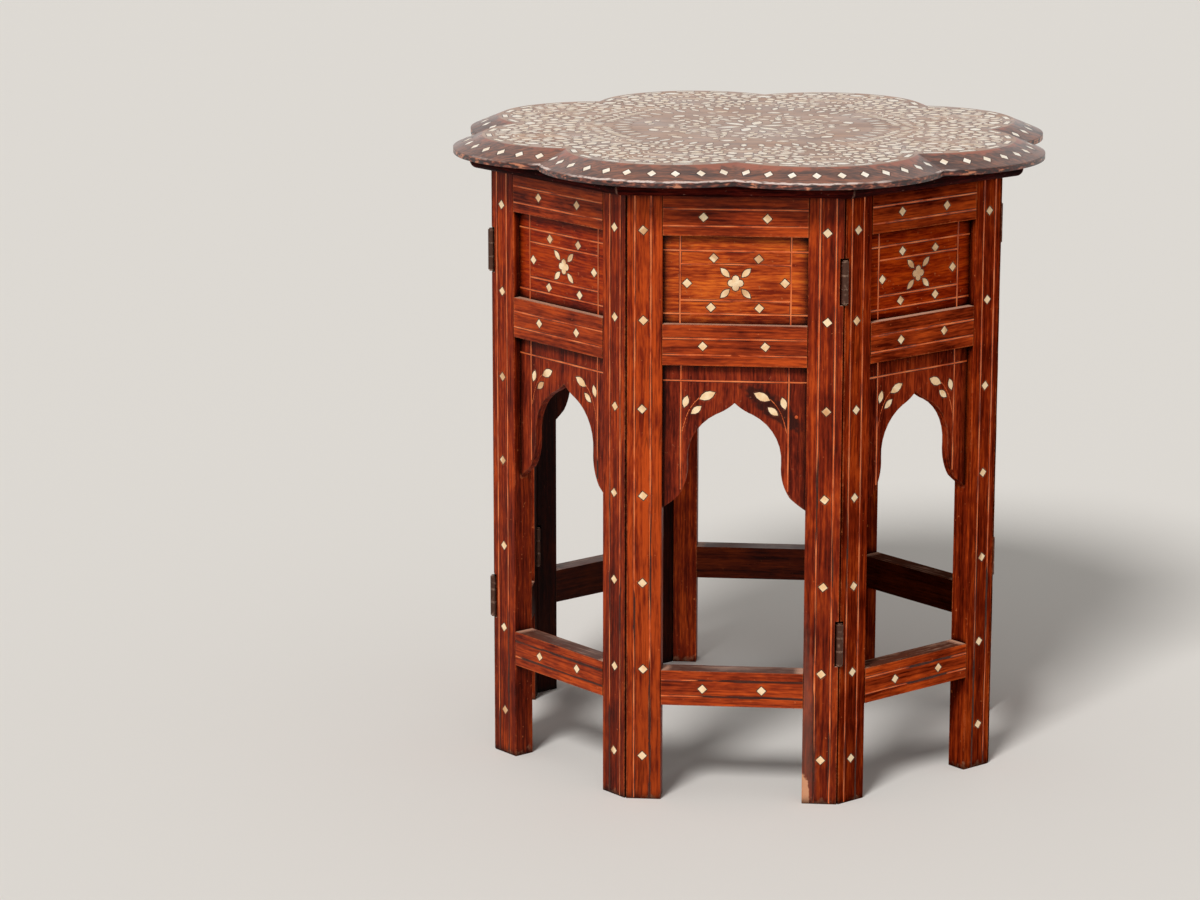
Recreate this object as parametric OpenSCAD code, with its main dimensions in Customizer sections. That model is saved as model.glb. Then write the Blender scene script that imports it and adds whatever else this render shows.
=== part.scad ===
// Inlaid octagonal table: a lift-off scalloped top on a folding stand of eight hinged frames.
// Frame 0 faces -Y and the others follow counter-clockwise, seen from above.
// The origin is on the floor, under the middle of the top.

/* [Stand] */
// Width of one frame across its outer face
side_w = 155; // [150:0.5:160]
// Height of the stand
stand_h = 447; // [442:0.5:452]
// Thickness of the stiles and rails
frame_t = 16; // [15:0.5:18]
// Width of a stile on its outer face
stile_w = 26; // [25:0.5:28]
// Clearance from a mitred edge to the corner's middle plane
mitre_gap = 0.4; // [0.3:0.05:0.6]
// Easing on the long edges of the stiles
arris = 0.6; // [0.3:0.1:1]

/* [Rails] */
// Height of the stretcher's lower edge above the floor
stretcher_z = 72; // [66:1:78]
// Width of the stretcher
stretcher_h = 26; // [22:0.5:28]
// Height of the mid rail's lower edge above the floor
mid_rail_z = 324; // [320:0.5:326]
// Width of the mid rail
mid_rail_h = 29.5; // [28:0.5:31]
// Width of the top rail
top_rail_h = 29.6; // [28:0.1:31]
// Length of a tenon
tenon_l = 14; // [8:0.5:14]
// Thickness of a tenon
tenon_t = 6; // [4:0.5:6]
// Shoulder above and below a tenon
tenon_shoulder = 6; // [6:0.5:8]

/* [Boards] */
// Distance from the outer face back to the boards
board_recess = 6; // [5:0.5:7]
// Thickness of the boards
board_t = 6; // [4:0.5:6]
// How far a board runs into its grooves
tongue_l = 4; // [3:0.5:5]
// Room left for a board to swell
board_slack = 1; // [0.5:0.1:1.5]
// Height of the arch's pointed tip above the floor
arch_tip_z = 296; // [290:0.5:298]
// Height at which the arch meets the stiles
arch_foot_z = 218; // [214:0.5:220]

/* [Hinges] */
// Height of a hinge
hinge_h = 30; // [26:1:34]
// Heights of the two hinges' lower ends above the floor
hinge_levels = [106, 371];
// Radius of the knuckles
knuckle_r = 2.6; // [2.4:0.1:3.8]
// Radius of the hinge pins
pin_r = 1.1; // [1:0.1:1.3]
// Clearance between a pin and its knuckles
pin_clear = 0.08; // [0.05:0.01:0.1]
// Width of a leaf, from the pin's centre
leaf_w = 13; // [10:0.5:13]
// Thickness of a leaf
leaf_t = 1.2; // [1:0.1:1.5]

/* [Top] */
// Distance from the middle of the top to the centres of its lobes
lobe_c = 129.5; // [128:0.5:131]
// Radius of a lobe at the edge of the top
lobe_r = 98.5; // [98:0.5:101]
// Height of the upright edge under the bevel
edge_h = 4; // [3:0.5:5]
// Rise of the bevel
bevel_h = 9; // [7:0.5:10]
// Width of the bevel, seen from above
bevel_run = 21.5; // [19:0.5:23]
// Distance from the axis to the outer side of the moulding under the top
moulding_a = 202; // [199:0.5:203]
// Width of the moulding
moulding_w = 38; // [34:1:42]
// Height of the moulding
moulding_h = 9; // [8:0.5:11]
// Radius of the moulding's rounded lower edge
moulding_round = 6; // [4:0.5:6]

/* [Inlay] */
// Thickness of the bone
bone_t = 1.2; // [1:0.1:1.6]
// Gap round a piece of bone, filled with lac
lac_gap = 0.4; // [0.3:0.1:0.6]
// Width of a diamond from point to point
diamond_d = 6.6; // [6:0.1:7.2]
// Length of a diamond on the bevel, down the slope
bevel_diamond_l = 8.2; // [7:0.1:9]
// Number of diamonds up a stile
stile_diamonds = 7; // [5:1:8]
// Number of diamonds on the bevel of one lobe
bevel_diamonds = 10; // [7:1:10]
// Most that a diamond is set off its place by hand
hand_offset = 0.7; // [0:0.1:1]
// Most that a diamond is turned by hand, in degrees
hand_turn = 7; // [0:1:10]

/* [Hidden] */

$fn = 48;
eps = 0.01;
sides = 8;
turn = 360 / sides;
half_turn = turn / 2;

// Stand
apothem = side_w / 2 / tan(half_turn);
corner_r = apothem / cos(half_turn);
inner_corner_r = (apothem - frame_t) / cos(half_turn);
opening_u = side_w / 2 - stile_w;
top_rail_z = stand_h - top_rail_h;
tenon_y = (frame_t - tenon_t) / 2;
groove_slack = 0.2;
field_z = [mid_rail_z + mid_rail_h - tongue_l, top_rail_z + tongue_l];
arch_board_top = mid_rail_z + tongue_l;
arch_board_foot = arch_foot_z - 2;

// Hinges
knuckle_gap = 0.3;
knuckles = 3;
pin_head_r = 1.8;
pin_head_h = 1;
knuckle_room = 0.9;

// Top
rest_gap = 0.05;
moulding_z = stand_h + rest_gap;
top_z = moulding_z + moulding_h;
table_h = top_z + edge_h + bevel_h;
lobe_top_r = lobe_r - bevel_run;
bevel_tilt = atan(bevel_h / bevel_run);
moulding_lip = moulding_h - moulding_round;
mitre_line = 0.05;
screw_a = moulding_a - 22;
screw_u = 42;
screw_r = 1.9;
screw_head_r = 3.6;
screw_l = 17;
screw_room = 0.05;

// The right half of the arch, from its tip down to the stile, as arcs through three points each
arch_arcs = [
    [[0, arch_tip_z], [6, arch_tip_z - 4.7], [13, arch_tip_z - 8.3]],
    [[13, arch_tip_z - 8.3], [27.5, arch_tip_z - 21], [33.6, arch_tip_z - 44]],
    [[33.6, arch_tip_z - 44], [34.9, arch_tip_z - 58], [40, arch_tip_z - 69]],
    [[40, arch_tip_z - 69], [45.4, arch_foot_z + 4.4], [opening_u, arch_foot_z]]
];

// Inlay places: u runs along a frame's face from its middle, z up from the floor
stile_mark_u = side_w / 2 - stile_w / 2 + 0.6;
stile_mark_pitch = (stand_h - 58.8) / (stile_diamonds - 1);
rail_mark_u = 22;
rail_mark_z = [stretcher_z + 13, mid_rail_z + 14.4, top_rail_z + 13.5];
flower_z = (mid_rail_z + mid_rail_h + top_rail_z) / 2 - 2.5;
field_marks = [[16, 17.5], [35, 0], [17.5, -17.7]];
petal_d = 5;
petal_r = 3.1;
flower_leaf = [9, 4.2];
flower_leaf_r = 10.6;
// Leaves of the sprig beside the arch: place, turn and size
sprig_leaves = [
    [[19.5, 301], -24, [12.5, 6]],
    [[35, 296.5], -75, [9, 4.6]],
    [[27.4, 290.5], -38, [9.3, 4.6]]
];

function bearing(v) = atan2(v[1], v[0]);

// Centre of the circle through three points
function circle_centre(a, b, c) =
    let (
        d = 2 * (a[0] * (b[1] - c[1]) + b[0] * (c[1] - a[1]) + c[0] * (a[1] - b[1])),
        x = (a * a) * (b[1] - c[1]) + (b * b) * (c[1] - a[1]) + (c * c) * (a[1] - b[1]),
        y = (a * a) * (c[0] - b[0]) + (b * b) * (a[0] - c[0]) + (c * c) * (b[0] - a[0])
    )
    [x / d, y / d];

// Points of the short arc from a through b to c, without the last one
function arc_points(a, b, c, steps) =
    let (
        o = circle_centre(a, b, c),
        start = bearing(a - o),
        raw = bearing(c - o) - start,
        sweep = raw > 180 ? raw - 360 : raw < -180 ? raw + 360 : raw
    )
    [
        for (i = [0:steps - 1])
            let (at = start + sweep * i / steps)
            o + norm(a - o) * [cos(at), sin(at)]
    ];

// Outline of a pointed leaf that lies along x
function leaf_outline(size) =
    let (
        steps = 4,
        edge = [for (i = [0:steps - 1]) [2 * i / steps - 1, 1 - pow(2 * i / steps - 1, 2)]]
    )
    concat(
        [for (p = edge) [size[0] / 2 * p[0], size[1] / 2 * p[1]]],
        [for (p = edge) [-size[0] / 2 * p[0], -size[1] / 2 * p[1]]]
    );

function hand(seed) = rands(-1, 1, 3, seed);

// Turns frame 0's place into the place of frame k
module to_frame(k) rotate([0, 0, k * turn]) children();

// Puts a flat shape on the outer face of frame 0, sunk to the given depth
module on_face(depth) translate([0, depth - apothem, 0]) rotate([90, 0, 0]) children();

// The corner's own frame: -Y points out through the corner, X runs across it
module at_corner(side, radius) rotate([0, 0, side * half_turn]) translate([0, -radius, 0]) children();

module both_sides()
{
    children();
    mirror([1, 0, 0]) children();
}

// Bone shapes, grown by the lac gap where they cut a pocket

module leaf(size, grow) polygon(leaf_outline([size[0] + 3 * grow, size[1] + 2 * grow]));

module diamond(grow, length = diamond_d)
    polygon([
        for (i = [0:3])
            let (reach = (i % 2 == 0 ? length : diamond_d) / 2 + 1.4 * grow)
            reach * [cos(90 * i), sin(90 * i)]
    ]);

// A diamond set by hand, a little off its place
module hand_diamond(place, seed, grow)
{
    slip = hand(seed);
    translate(place + hand_offset * [slip[0], slip[1]])
        rotate(hand_turn * slip[2])
            diamond(grow);
}

module stile_pattern(k, grow)
    for (side = [-1, 1], i = [0:stile_diamonds - 1])
        hand_diamond([side * stile_mark_u, 33.3 + i * stile_mark_pitch], 100 * k + 10 * side + i, grow);

module rail_pattern(k, grow)
    for (side = [-1, 1], i = [0:2])
        hand_diamond([side * rail_mark_u, rail_mark_z[i]], 100 * k + 40 + 10 * side + i, grow);

// Four petals cut from one piece, with a leaf between each two
module flower(grow)
{
    circle(d = 0.7 * petal_d, $fn = 8);
    for (a = [0:90:270])
        rotate(a)
            translate([petal_r, 0])
                circle(d = petal_d + 2 * grow, $fn = 8);
    for (a = [45:90:315])
        rotate(a)
            translate([flower_leaf_r, 0])
                leaf(flower_leaf, grow);
}

module field_pattern(k, grow)
{
    translate([0, flower_z]) flower(grow);
    for (side = [-1, 1], i = [0:len(field_marks) - 1])
        hand_diamond(
            [side * field_marks[i][0], flower_z + field_marks[i][1]],
            100 * k + 70 + 10 * side + i, grow
        );
}

module arch_pattern(grow)
    both_sides()
        for (s = sprig_leaves)
            translate(s[0])
                rotate(s[1])
                    leaf(s[2], grow);

// Stand

// Section of the right stile, seen from above
module stile_section()
{
    edge_shift = mitre_gap / cos(half_turn);
    outer_u = side_w / 2 - edge_shift;
    inner_u = (apothem - frame_t) * tan(half_turn) - edge_shift;
    polygon([
        [opening_u + arris, -apothem],
        [outer_u - arris, -apothem],
        [outer_u - arris * sin(half_turn), arris * cos(half_turn) - apothem],
        [inner_u, frame_t - apothem],
        [opening_u, frame_t - apothem],
        [opening_u, arris - apothem]
    ]);
}

// Room for a board's edge, with its front cheek where the board's front is
module stile_groove(z0, z1)
    translate([opening_u - 1, board_recess - apothem, z0])
        cube([1 + tongue_l + board_slack, board_t + groove_slack, z1 - z0]);

module mortise(z0, z1)
    translate([opening_u - 1, tenon_y - apothem, z0])
        cube([1 + tenon_l, tenon_t, z1 - z0]);

// What a hinge takes out of the stile beside it; the leaf side is -X in the corner's frame
module hinge_seat(outer)
    for (z = hinge_levels)
    {
        translate([0, 0, z - knuckle_room - pin_head_h])
            cylinder(r = knuckle_r + knuckle_room, h = hinge_h + 2 * (knuckle_room + pin_head_h));
        translate([-mitre_gap - leaf_t, outer ? 0 : -leaf_w, z])
            cube([leaf_t + mitre_gap + 1, leaf_w, hinge_h]);
    }

module right_stile(outer)
    difference()
    {
        linear_extrude(stand_h) stile_section();
        stile_groove(arch_board_foot, arch_board_top + board_slack);
        stile_groove(field_z[0], field_z[1] + board_slack);
        mortise(stretcher_z + tenon_shoulder, stretcher_z + stretcher_h - tenon_shoulder);
        mortise(mid_rail_z + tenon_shoulder, mid_rail_z + mid_rail_h - tenon_shoulder);
        mortise(top_rail_z + tenon_shoulder, stand_h - tenon_shoulder);
        at_corner(1, outer ? corner_r : inner_corner_r) hinge_seat(outer);
    }

// Even frames have their outer hinge on the right, odd ones on the left
module stiles(k)
    color("#6d2c1a")
        to_frame(k)
            difference()
            {
                union()
                {
                    right_stile(k % 2 == 0);
                    mirror([1, 0, 0]) right_stile(k % 2 == 1);
                }
                on_face(bone_t) linear_extrude(bone_t + 1) stile_pattern(k, lac_gap);
            }

module rail(z, height)
{
    translate([-opening_u, -apothem, z])
        cube([2 * opening_u, frame_t, height]);
    translate([-opening_u - tenon_l, tenon_y - apothem, z + tenon_shoulder])
        cube([2 * (opening_u + tenon_l), tenon_t, height - 2 * tenon_shoulder]);
}

module rail_groove(z0, z1)
    translate([-opening_u - 1, board_recess - apothem, z0])
        cube([2 * opening_u + 2, board_t + groove_slack, z1 - z0]);

module rails(k)
    color("#7a3320")
        to_frame(k)
            difference()
            {
                union()
                {
                    rail(stretcher_z, stretcher_h);
                    rail(mid_rail_z, mid_rail_h);
                    rail(top_rail_z, top_rail_h);
                }
                rail_groove(mid_rail_z - 1, arch_board_top + board_slack);
                rail_groove(field_z[0], mid_rail_z + mid_rail_h + 1);
                rail_groove(top_rail_z - 1, field_z[1] + board_slack);
                on_face(bone_t) linear_extrude(bone_t + 1) rail_pattern(k, lac_gap);
            }

module field_board(k)
    color("#8a3a1e")
        to_frame(k)
            difference()
            {
                translate([-opening_u - tongue_l, board_recess - apothem, field_z[0]])
                    cube([2 * (opening_u + tongue_l), board_t, field_z[1] - field_z[0]]);
                on_face(board_recess + bone_t) linear_extrude(bone_t + 1) field_pattern(k, lac_gap);
            }

module arch_outline()
{
    half = concat(
        [for (a = arch_arcs) each arc_points(a[0], a[1], a[2], 7)],
        [[opening_u, arch_foot_z]]
    );
    polygon(concat(
        half,
        [[opening_u, 0], [-opening_u, 0]],
        [for (i = [len(half) - 1:-1:1]) [-half[i][0], half[i][1]]]
    ));
}

module arch_board(k)
    color("#74301c")
        to_frame(k)
            difference()
            {
                on_face(board_recess + board_t)
                    linear_extrude(board_t)
                        difference()
                        {
                            translate([-opening_u - tongue_l, arch_board_foot])
                                square([2 * (opening_u + tongue_l), arch_board_top - arch_board_foot]);
                            arch_outline();
                        }
                on_face(board_recess + bone_t) linear_extrude(bone_t + 1) arch_pattern(lac_gap);
            }

module bone_inlay(k)
    color("#e8d3ae")
        to_frame(k)
        {
            on_face(bone_t)
                linear_extrude(bone_t)
                {
                    stile_pattern(k, 0);
                    rail_pattern(k, 0);
                }
            on_face(board_recess + bone_t)
                linear_extrude(bone_t)
                {
                    field_pattern(k, 0);
                    arch_pattern(0);
                }
        }

// Hinges

// One leaf on the -X side of a corner; its knuckles are the even ones or the odd ones
module hinge_leaf(outer, odd)
{
    knuckle_h = (hinge_h - (knuckles - 1) * knuckle_gap) / knuckles;
    pitch = knuckle_h + knuckle_gap;
    inward = outer ? 1 : -1;
    free_edge = knuckle_r + knuckle_gap;
    difference()
    {
        union()
        {
            translate([-mitre_gap - leaf_t, outer ? free_edge : -leaf_w, 0])
                cube([leaf_t, leaf_w - free_edge, hinge_h]);
            for (i = [(odd ? 1 : 0):2:knuckles - 1])
                translate([0, 0, i * pitch])
                {
                    cylinder(r = knuckle_r, h = knuckle_h);
                    translate([-mitre_gap - leaf_t, inward > 0 ? 0 : -free_edge - 1, 0])
                        cube([leaf_t, free_edge + 1, knuckle_h]);
                }
        }
        translate([0, 0, -1]) cylinder(r = pin_r + pin_clear, h = hinge_h + 2);
    }
}

// The leaves that one frame carries: end knuckles at its right corner, middle ones at its left
module hinge_leaves(k)
{
    right_outer = k % 2 == 0;
    color("#4a4034")
        to_frame(k)
            for (z = hinge_levels)
                translate([0, 0, z])
                {
                    at_corner(1, right_outer ? corner_r : inner_corner_r)
                        hinge_leaf(right_outer, false);
                    at_corner(-1, right_outer ? inner_corner_r : corner_r)
                        mirror([1, 0, 0]) hinge_leaf(!right_outer, true);
                }
}

// Pins with a peened head at each end, at the frame's right corner
module hinge_pins(k)
    color("#5a4d3c")
        to_frame(k)
            at_corner(1, k % 2 == 0 ? corner_r : inner_corner_r)
                for (z = hinge_levels)
                    translate([0, 0, z])
                    {
                        cylinder(r = pin_r, h = hinge_h);
                        for (end = [-pin_head_h, hinge_h])
                            translate([0, 0, end]) cylinder(r = pin_head_r, h = pin_head_h);
                    }

// Top

// One lobe: an upright edge, then the bevel
module lobe()
    rotate_extrude($fn = 96)
        polygon([
            [0, top_z],
            [lobe_r, top_z],
            [lobe_r, top_z + edge_h],
            [lobe_top_r, table_h],
            [0, table_h]
        ]);

module at_lobe(i) rotate([0, 0, (i + 0.5) * turn - 90]) translate([lobe_c, 0, 0]) children();

module top_blank()
{
    for (i = [0:sides - 1]) at_lobe(i) lobe();
    translate([0, 0, top_z]) cylinder(r = lobe_c, h = edge_h + bevel_h);
}

// Prisms square to the bevel, sunk to the bone's depth
module bevel_prisms(i, grow)
{
    step = 113 / bevel_diamonds;
    for (j = [0:bevel_diamonds - 1])
    {
        slip = hand(1000 + 20 * i + j);
        rotate([0, 0, (j - (bevel_diamonds - 1) / 2) * step + slip[0] * hand_offset / 2])
            translate([lobe_r - bevel_run / 2, 0, top_z + edge_h + bevel_h / 2])
                rotate([0, bevel_tilt, 0])
                    translate([0, 0, -bone_t])
                        linear_extrude(bone_t + 1)
                            rotate(hand_turn * slip[1])
                                diamond(grow, bevel_diamond_l);
    }
}

// Flat bone of the top: border bars, large leaves along the scallops, a ring of teeth and a six-petalled star
module top_pattern(grow)
{
    bar = [14, 3.6];
    bar_step = 21.5;
    edge_leaf = [14, 8.5];
    edge_leaf_r = lobe_top_r - 14;
    notch_leaf_r = 167;
    tooth_leaf = [13, 4.4];
    tooth_r = 97;
    teeth = 48;
    star_turn = 20;
    star_points = 6;
    petal = [20, 7.5];
    small_leaf = [12, 5];
    star_tip = [12, 8];
    star_tip_r = 76;
    for (i = [0:sides - 1])
    {
        rotate((i + 0.5) * turn - 90)
            translate([lobe_c, 0])
            {
                for (j = [-2.5:2.5])
                    rotate(j * bar_step)
                        translate([lobe_top_r - 5, 0])
                            square([bar[1] + 2 * grow, bar[0] + 2 * grow], center = true);
                for (a = [-34.5, 0, 34.5])
                    rotate(a)
                        translate([edge_leaf_r, 0])
                            rotate(90)
                                leaf(edge_leaf, grow);
            }
        rotate(i * turn)
            translate([notch_leaf_r, 0])
                rotate(90)
                    leaf(edge_leaf, grow);
    }
    for (i = [0:teeth - 1])
        rotate(i * 360 / teeth)
            translate([tooth_r, 0])
                leaf(tooth_leaf, grow);
    for (i = [0:star_points - 1])
        rotate(star_turn + i * 360 / star_points)
        {
            translate([17.5, 0]) leaf(petal, grow);
            translate([star_tip_r, 0]) rotate(90) leaf(star_tip, grow);
            rotate(180 / star_points) translate([28, 0]) leaf(small_leaf, grow);
        }
    circle(r = 4.4 + grow, $fn = 24);
}

module top_board()
    color("#5d3226")
        difference()
        {
            top_blank();
            translate([0, 0, table_h - bone_t]) linear_extrude(bone_t + 1) top_pattern(lac_gap);
            for (i = [0:sides - 1]) at_lobe(i) bevel_prisms(i, lac_gap);
            screw_holes();
        }

module top_bone_inlay()
    color("#e9dcc2")
    {
        translate([0, 0, table_h - bone_t]) linear_extrude(bone_t) top_pattern(0);
        for (i = [0:sides - 1])
            at_lobe(i)
                intersection()
                {
                    lobe();
                    bevel_prisms(i, 0);
                }
    }

// Section of the moulding, with its lower outer edge rounded; x runs out from the axis
module moulding_section()
{
    round_x = moulding_a - moulding_round;
    translate([moulding_a - moulding_w, 0]) square([round_x - moulding_a + moulding_w, moulding_h]);
    translate([round_x - eps, moulding_round]) square([moulding_round + eps, moulding_lip]);
    intersection()
    {
        translate([round_x, moulding_round]) circle(r = moulding_round);
        translate([round_x - eps, 0]) square([moulding_round + 1, moulding_round + eps]);
    }
}

// Eight lengths, mitred with a hairline between them
module under_moulding()
{
    reach = moulding_a + 2;
    half_l = reach * tan(half_turn);
    color("#5a2418")
        difference()
        {
            for (k = [0:sides - 1])
                rotate([0, 0, k * turn - 90])
                    translate([0, 0, moulding_z])
                        intersection()
                        {
                            translate([0, half_l, 0])
                                rotate([90, 0, 0])
                                    linear_extrude(2 * half_l) moulding_section();
                            translate([mitre_line / sin(half_turn), 0, 0])
                                linear_extrude(moulding_h)
                                    polygon([[0, 0], [reach, half_l], [reach, -half_l]]);
                        }
            screw_holes();
        }
}

module at_screws()
    for (k = [0:sides - 1])
        to_frame(k)
            both_sides()
                translate([screw_u, -screw_a, moulding_z])
                    children();

// A countersunk screw that points up, its head just inside the underside
module screw(room)
{
    sink = 0.3;
    head_h = screw_head_r - screw_r;
    rotate_extrude($fn = 24)
        polygon([
            [0, room > 0 ? -1 : sink],
            [screw_head_r + room, room > 0 ? -1 : sink],
            [screw_head_r + room, sink + 0.4],
            [screw_r + room, sink + 0.4 + head_h],
            [screw_r + room, screw_l - 2],
            [0, screw_l + room]
        ]);
}

module screw_holes() at_screws() screw(screw_room);

module moulding_screws() color("#6b5a3e") at_screws() screw(0);

for (k = [0:sides - 1])
{
    stiles(k);
    rails(k);
    field_board(k);
    arch_board(k);
    bone_inlay(k);
    hinge_leaves(k);
    hinge_pins(k);
}
top_board();
top_bone_inlay();
under_moulding();
moulding_screws();
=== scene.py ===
import math
import random
import bpy
import bmesh
from mathutils import Matrix, Vector


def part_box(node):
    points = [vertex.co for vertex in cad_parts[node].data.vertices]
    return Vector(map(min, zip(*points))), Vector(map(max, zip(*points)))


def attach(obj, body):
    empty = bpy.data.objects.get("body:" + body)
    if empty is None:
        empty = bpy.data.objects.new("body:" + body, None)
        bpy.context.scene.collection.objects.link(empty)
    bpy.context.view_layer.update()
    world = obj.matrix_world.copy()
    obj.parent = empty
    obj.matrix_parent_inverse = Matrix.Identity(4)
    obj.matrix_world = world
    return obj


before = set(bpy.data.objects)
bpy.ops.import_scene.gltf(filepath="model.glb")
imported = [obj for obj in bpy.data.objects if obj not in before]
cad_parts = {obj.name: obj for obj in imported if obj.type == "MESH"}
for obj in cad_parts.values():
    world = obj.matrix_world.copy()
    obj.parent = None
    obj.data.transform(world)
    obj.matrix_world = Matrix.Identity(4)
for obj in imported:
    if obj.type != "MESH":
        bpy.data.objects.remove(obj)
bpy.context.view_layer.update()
scene = bpy.context.scene
scene.view_settings.view_transform = "Standard"
print("frame loaded:", len(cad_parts), "nodes")


def mm(value):
    return value / 1000


# planes of the CAD that the pieces are laid on, in metres, and how often its shapes repeat
stand = {
    "frames": 8,
    "face": -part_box("stiles_0")[0].y,  # from the axis to a frame's outer face
    "boardFace": -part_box("field_board_0")[0].y,  # the same for the boards, which are set back
}
tableTop = {
    "lobes": 8,
    "face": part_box("top_board")[1].z,
    "lobeMiddle": 129.5,  # mm from the axis to the middle of a lobe
}
eighth = math.tau / 8


# Camera, fitted to the photo, whose image is 1200 by 900

photoCamera = {
    "place": (0.15875, -2.78773, 0.86781),
    "forward": (-0.09492, 0.96944, -0.22622),
    "up": (-0.022045, 0.225143, 0.974074),
    "lens": 112.36,
    "sensor": 36,
}


def addCamera(look):
    back = -Vector(look["forward"]).normalized()
    right = Vector(look["up"]).cross(back).normalized()
    turned = Matrix((right, back.cross(right), back)).transposed()
    bpy.ops.object.camera_add(location=look["place"], rotation=turned.to_euler())
    made = bpy.context.object
    made.name = "photoCamera"
    made.data.lens = look["lens"]
    made.data.sensor_width = look["sensor"]
    scene.camera = made


addCamera(photoCamera)
print("camera placed")


# Materials

def hexColour(text):
    parts = [int(text[i:i + 2], 16) / 255 for i in (1, 3, 5)]
    return [*(p / 12.92 if p <= 0.04045 else ((p + 0.055) / 1.055) ** 2.4 for p in parts), 1]


# One node with its settings. links gives each input, by name or number, a value, a colour as hex text, a
# socket or a node. Every Mix is of colours: 0 is the share, 6 and 7 are the colours. stops are those of a
# colour ramp, and span holds the from and to values of a MapRange
def addNode(tree, kind, links=None, stops=(), span=(), **settings):
    node = tree.nodes.new("ShaderNode" + kind)
    if kind == "Mix":
        node.data_type = "RGBA"
    for name, value in settings.items():
        setattr(node, name, value)
    for number, (place, colour) in enumerate(stops):
        ramp = node.color_ramp.elements
        stop = ramp[number] if number < 2 else ramp.new(place)
        stop.position = place
        stop.color = hexColour(colour)
    for key, value in [*(links or {}).items(), *enumerate(span, start=1)]:
        if isinstance(value, str):
            value = hexColour(value)
        if isinstance(value, bpy.types.Node):
            value = next(socket for socket in value.outputs if socket.enabled)
        if isinstance(value, bpy.types.NodeSocket):
            tree.links.new(value, node.inputs[key])
        else:
            node.inputs[key].default_value = value
    return node


# A material whose shader has the inputs that build returns
def makeMaterial(name, build, look):
    made = bpy.data.materials.new(name)
    made.use_nodes = True
    tree = made.node_tree
    tree.nodes.clear()
    shader = addNode(tree, "BsdfPrincipled", build(tree, look))
    addNode(tree, "OutputMaterial", {"Surface": shader.outputs[0]})
    return made


# Sheesham, an Indian rosewood, planed, stained red and French polished, then handled for a century: thin
# dark growth lines and fine streaks on a warm red, a low shine, corners painted nearly black with shade and
# dirt, orange rubbed edges
rosewood = {
    # noises that make the tone: mm across, detail, and how much each tells
    "streak": (1.9, 3, 0.5),
    "fibre": (1.3, 3, 0.5),  # the same, shorter
    "band": (12, 1, 0.3),
    "mottle": (5, 3, 0.22),  # short figure between the lines
    "stain": (34, 2, 0.35),  # lighter and darker patches
    "stops": (0.34, 0.49, 0.66),  # tones of the dark, middle and light colour
    "stretch": 0.03,  # a streak's width against its length
    "shortStretch": 0.16,  # the same for a fibre
    "apart": (1.7, 0.9, 0),  # metres from one side's piece of wood to the next one's
    "wander": 5,  # mm that the grain strays
    "wanderEvery": 110,
    "linesInBand": 11,
    "lines": 0.66,  # how dark a growth line is
    "pore": 0.9,  # mm, real pores are 0.2 mm wide: drawn coarser, to show
    "pores": 0.5,  # how dark they are
    "relief": 0.35,  # mm that the grain stands out
    "roundEdge": 0.7,  # mm
    "rubbed": 1.3,  # mm of an edge that hands have rubbed
    "knock": 2.6,  # mm across a knock in the polish
    "shadeAndGrimeReach": 8,  # mm that painted shade and dirt reach out of a corner
    # dust with a painted sheen on what faces up
    "dustAndSheenOpen": "#412e25",
    "dustAndSheenCorner": "#dfaa8d",
}
# worn is the colour of rubbed edges, figure below 1 is calmer, shine is low because the old polish is thin.
# inside is how bright the inner faces are painted against the outer ones, a painted shade, then the same for
# the back frame's inner faces, painted light where it is above 1
uprightLook = {
    "dark": "#450e03", "middle": "#7a230b", "light": "#b84615", "worn": "#c4683a", "grain": "up",
    "figure": 0.65, "rough": 0.4, "shine": 0.07, "inside": (0.14, 2.2),
    "brightStile": 0.1,  # the front left stile is from a brighter board
    "openJoint": (77.5, 76.7),  # mm from a frame's middle, where the edge of an open corner is black
}
railLook = {
    "dark": "#470e03", "middle": "#8c3011", "light": "#c04c19", "worn": "#c4683a", "grain": "level",
    "figure": 0.65, "lines": 0.42, "rough": 0.4, "shine": 0.08, "inside": (0.12, 0.5),
}
fieldLook = {
    "dark": "#701e08", "middle": "#ad4417", "light": "#da6921", "worn": "#b76a3c", "grain": "level",
    "rough": 0.4, "shine": 0.08, "inside": (0.3, 0.75),
    "sides": "#cfa087",  # the front field is the brightest; the others are painted darker, partly their own stain and partly painted shade
}
archLook = {
    "dark": "#420e05", "middle": "#75230f", "light": "#a03b18", "worn": "#9a5638", "grain": "up",
    "rough": 0.5, "shine": 0.08, "inside": (0.3, 0.75),
}
# the moulding is painted darker than its dark polish, partly a painted shade under the top
mouldingLook = {
    "dark": "#150202", "middle": "#300504", "light": "#54150b", "worn": "#8f6a5c", "grain": "level",
    "rough": 0.6, "shine": 0.02, "inside": (0.5, 0.5),
}
# the three frames to the right of the front have no shine, a painted lack of reflection standing for dark
# surroundings on that side
noSheenSide = {"frames": (1, 2, 3), "shine": 0}


def turnToFront(tree, vector):
    # which of the eight sides a point is on, and the point with that side turned to face the front
    place = addNode(tree, "SeparateXYZ", {0: vector})
    near = addNode(tree, "Math", {0: place.outputs["Y"], 1: -1}, operation="MULTIPLY")
    turn = addNode(tree, "Math", {0: place.outputs["X"], 1: near}, operation="ARCTAN2")
    turn = addNode(tree, "Math", {0: turn, 1: eighth / 2}, operation="ADD")
    turn = addNode(tree, "Math", {0: turn, 1: eighth}, operation="SNAP")
    back = addNode(tree, "Math", {0: turn, 1: -1}, operation="MULTIPLY")
    front = addNode(tree, "VectorRotate", {"Vector": vector, "Angle": back}, rotation_type="Z_AXIS")
    return turn, back, front


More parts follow.
